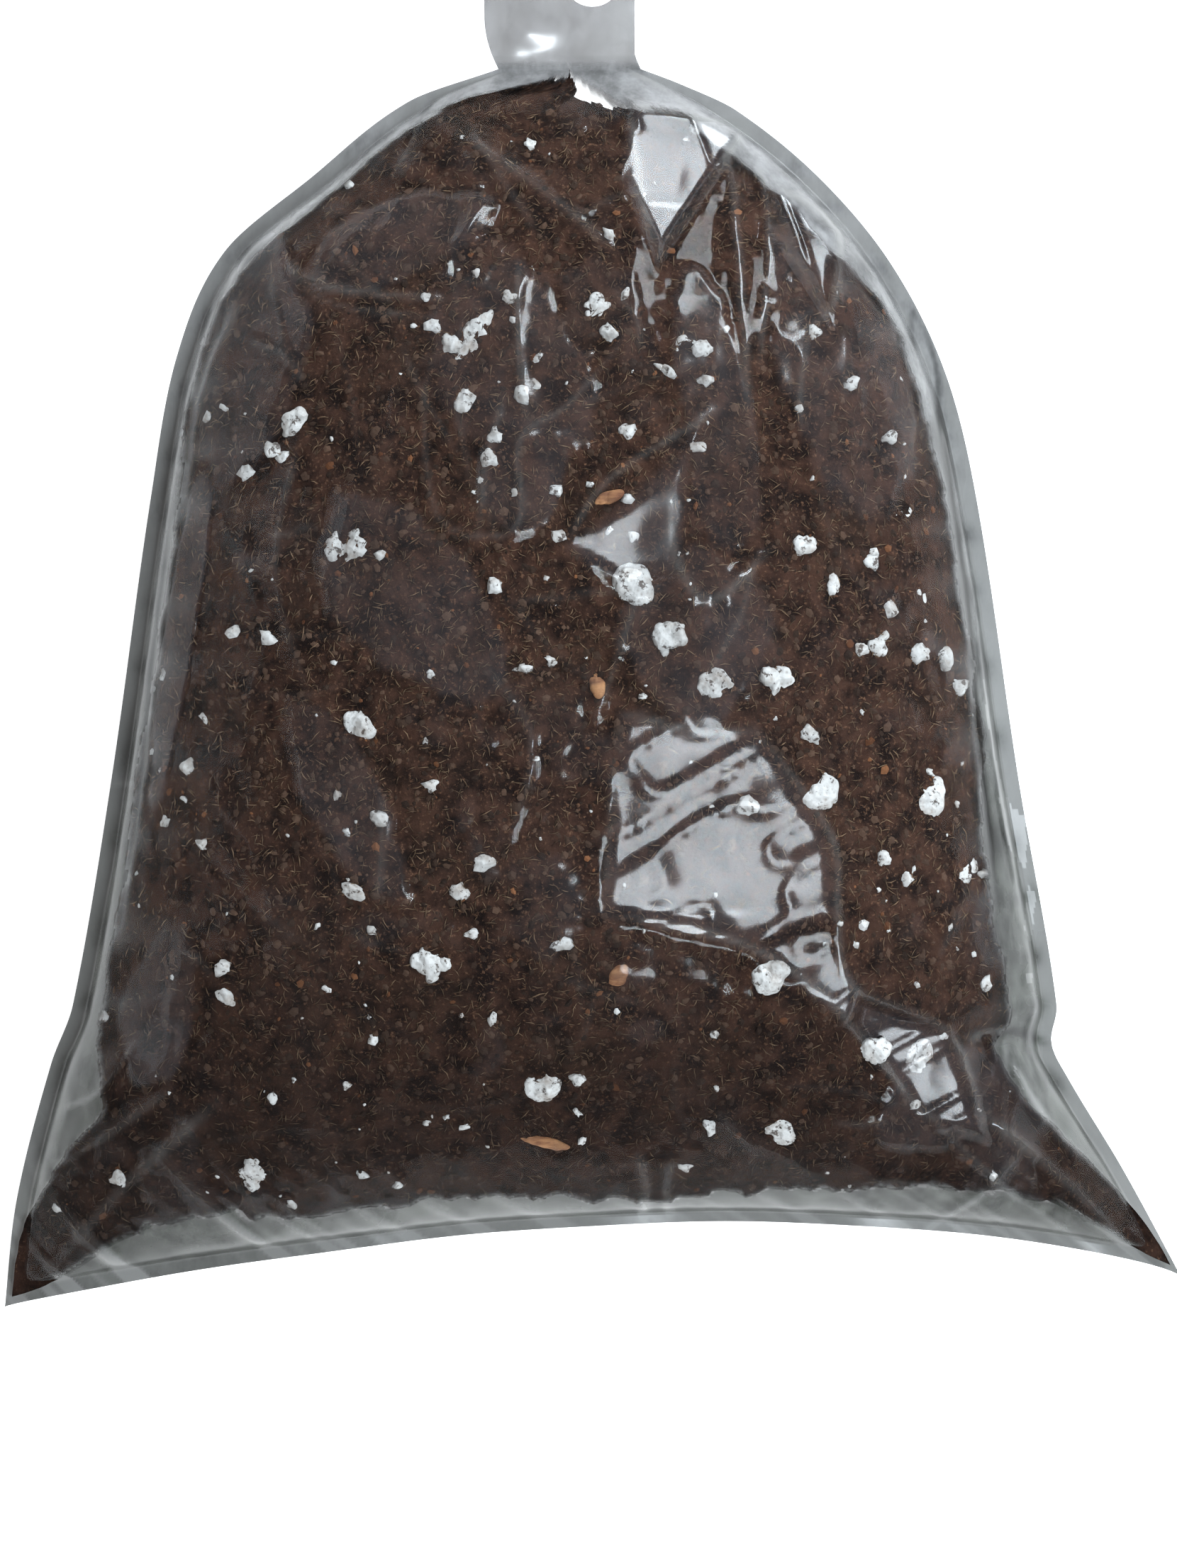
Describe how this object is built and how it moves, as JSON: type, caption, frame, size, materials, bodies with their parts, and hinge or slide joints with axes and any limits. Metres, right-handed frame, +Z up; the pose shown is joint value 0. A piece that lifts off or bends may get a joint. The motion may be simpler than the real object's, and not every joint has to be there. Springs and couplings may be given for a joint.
{
  "type": "compost bag",
  "caption": "Clear film pouch of potting mix lying on its back, welded flat along its edges, with a hanging tab at the neck and white granules showing.",
  "frame": {"origin": "on the floor, under the middle of the bag's box as it lies on its back", "axes": "+Y towards the hanging tab at the neck, +Z up through the front film, +X to the right seen from above"},
  "size_m": [0.2012, 0.234, 0.0612],
  "materials": {
    "clear_film": "clear glossy polypropylene film, slightly hazy where it stands off the fill",
    "coco_peat": "matt dark brown coco peat with fine fibres",
    "perlite": "matt white pitted expanded mineral",
    "bark": "rough tan and rust bark"
  },
  "bodies": {
    "root": {"film_bag": "clear_film", "compost_fill": "coco_peat", "perlite_granule_01": "perlite", "perlite_granule_02": "perlite", "perlite_granule_03": "perlite", "perlite_granule_04": "perlite", "perlite_granule_05": "perlite", "perlite_granule_06": "perlite", "perlite_granule_07": "perlite", "perlite_granule_08": "perlite", "perlite_granule_09": "perlite", "perlite_granule_10": "perlite", "perlite_granule_11": "perlite", "perlite_granule_12": "perlite", "perlite_granule_13": "perlite", "perlite_granule_14": "perlite", "perlite_granule_15": "perlite", "perlite_granule_16": "perlite", "perlite_granule_17": "perlite", "perlite_granule_18": "perlite", "perlite_granule_19": "perlite", "perlite_granule_20": "perlite", "perlite_granule_21": "perlite", "perlite_granule_22": "perlite", "perlite_granule_23": "perlite", "perlite_granule_24": "perlite", "bark_chip_01": "bark", "bark_chip_02": "bark", "bark_chip_03": "bark", "bark_chip_04": "bark"}
  },
  "joints": []
}
